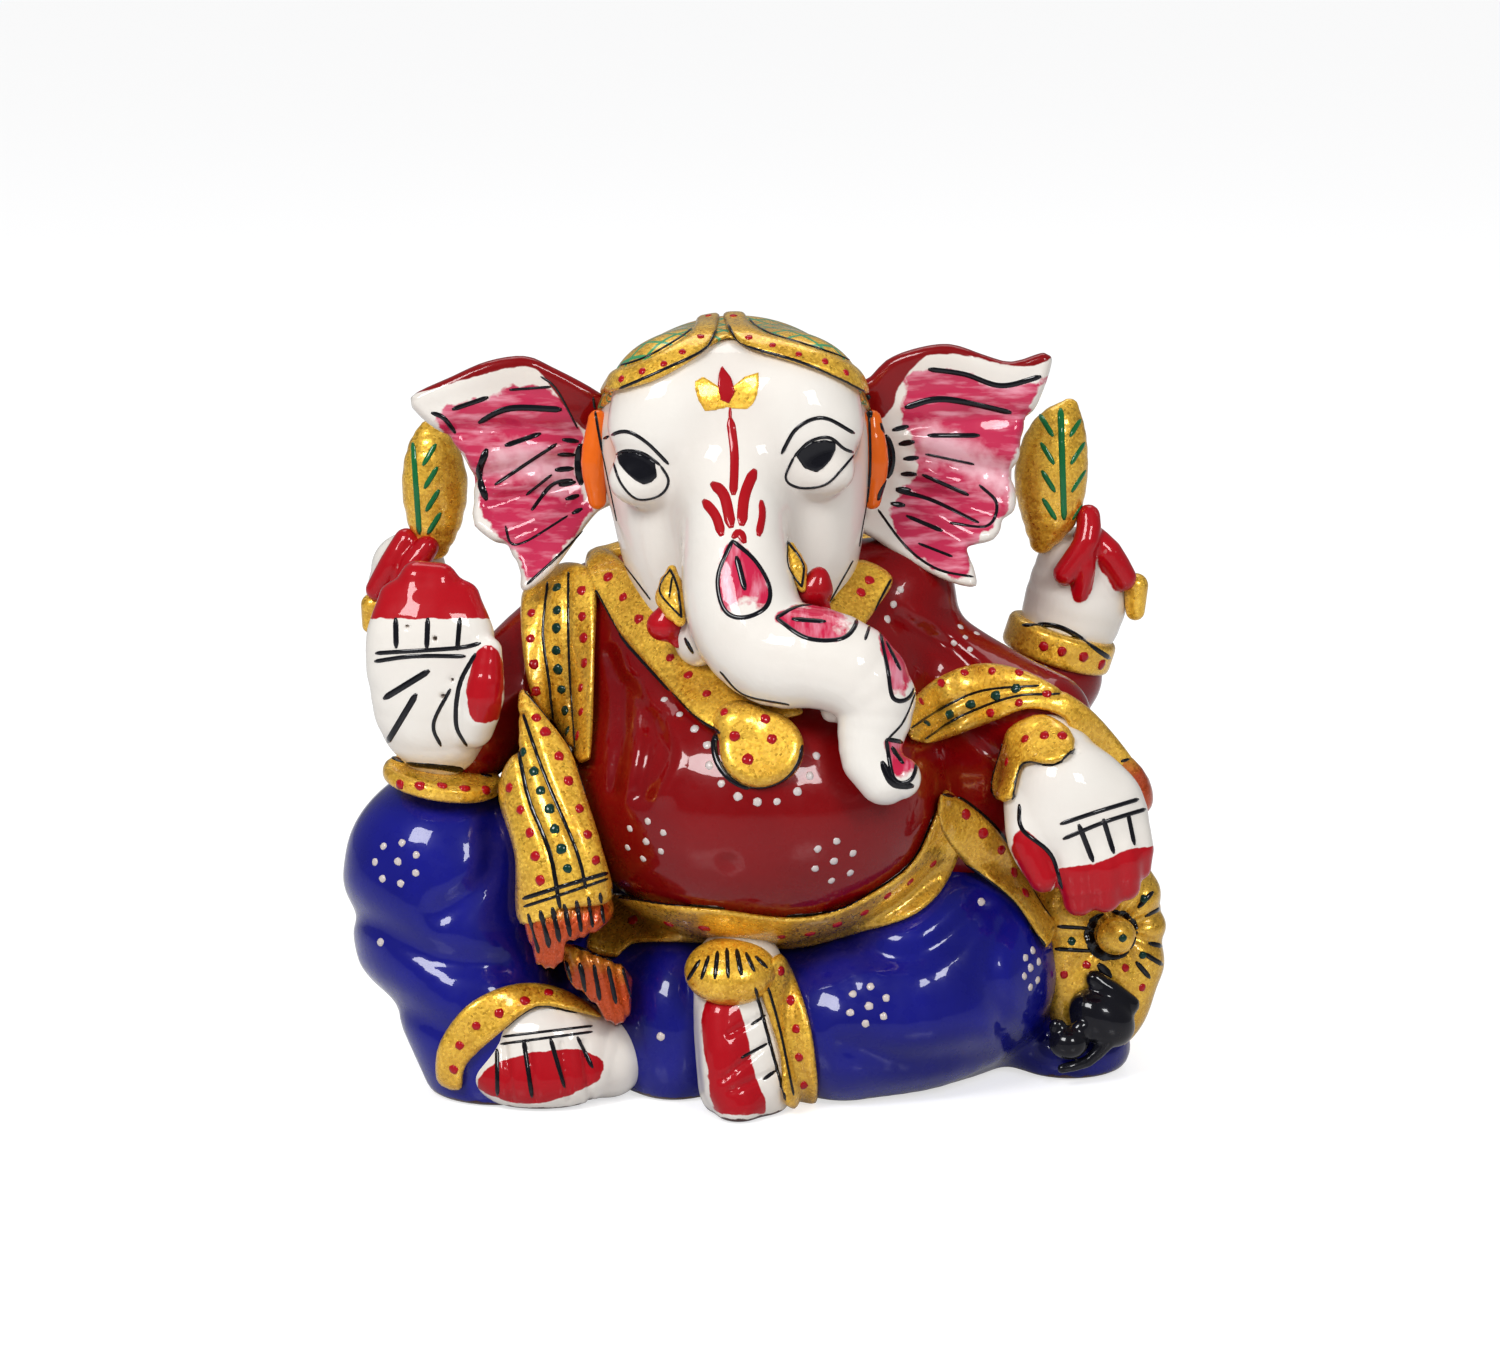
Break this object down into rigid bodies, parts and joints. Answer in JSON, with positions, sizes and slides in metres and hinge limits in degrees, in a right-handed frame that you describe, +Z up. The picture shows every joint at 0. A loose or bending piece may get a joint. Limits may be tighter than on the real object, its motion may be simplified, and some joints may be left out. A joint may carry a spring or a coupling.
{
  "type": "ganesha idol",
  "caption": "Small seated four-armed Ganesha idol with a curled trunk, raised palm, bolster and mouse, cast and hand painted in glossy enamel.",
  "frame": {"origin": "middle of the footprint, on the flat face the idol rests on", "axes": "+Z up, +X to the viewer's right, -Y the front that the face and belly look to"},
  "size_m": [0.0817, 0.0522, 0.0756],
  "materials": {
    "white_enamel": "gloss",
    "red_enamel": "gloss",
    "blue_enamel": "gloss",
    "gold_paint": "gloss",
    "orange_enamel": "gloss",
    "black_enamel": "gloss",
    "pink_enamel": "gloss",
    "cap_lattice": "gloss"
  },
  "bodies": {
    "root": {"head": "white_enamel", "torso": "red_enamel", "trunk": "white_enamel", "lower_lip": "white_enamel", "tusk_left": "gold_paint", "tusk_bead_left": "red_enamel", "tusk_right": "gold_paint", "tusk_bead_right": "red_enamel", "collar": "gold_paint", "pendant": "gold_paint", "seat": "blue_enamel", "leg_left": "blue_enamel", "leg_right": "blue_enamel", "foot_left": "white_enamel", "foot_right": "white_enamel", "dhoti_front": "blue_enamel", "sleeve_front_left": "red_enamel", "sleeve_front_right": "red_enamel", "cuff_front_left": "gold_paint", "cuff_front_right": "gold_paint", "hand_front_left": "white_enamel", "hand_front_right": "white_enamel", "shawl_left_upper": "gold_paint", "shawl_left_lower": "gold_paint", "fringe_left_upper": "orange_enamel", "fringe_left_lower": "orange_enamel", "shawl_right": "gold_paint", "fringe_right": "orange_enamel", "waistband": "gold_paint", "hem_knee_right": "gold_paint", "hem_ankle_right": "gold_paint", "hem_ankle_left": "gold_paint", "foot_tuft": "gold_paint", "cap_band": "gold_paint", "cap": "cap_lattice", "ear_left": "pink_enamel", "ear_right": "pink_enamel", "ear_ribbon_left": "orange_enamel", "ear_ribbon_right": "orange_enamel", "sleeve_back_left": "red_enamel", "sleeve_back_right": "red_enamel", "cuff_back_left": "gold_paint", "cuff_back_right": "gold_paint", "hand_back_left": "white_enamel", "hand_back_right": "white_enamel", "lotus_bud_left": "gold_paint", "lotus_bud_right": "gold_paint", "lotus_stem_left": "gold_paint", "lotus_stem_right": "gold_paint", "bolster": "gold_paint", "bolster_button": "gold_paint", "mouse": "black_enamel"}
  },
  "joints": []
}
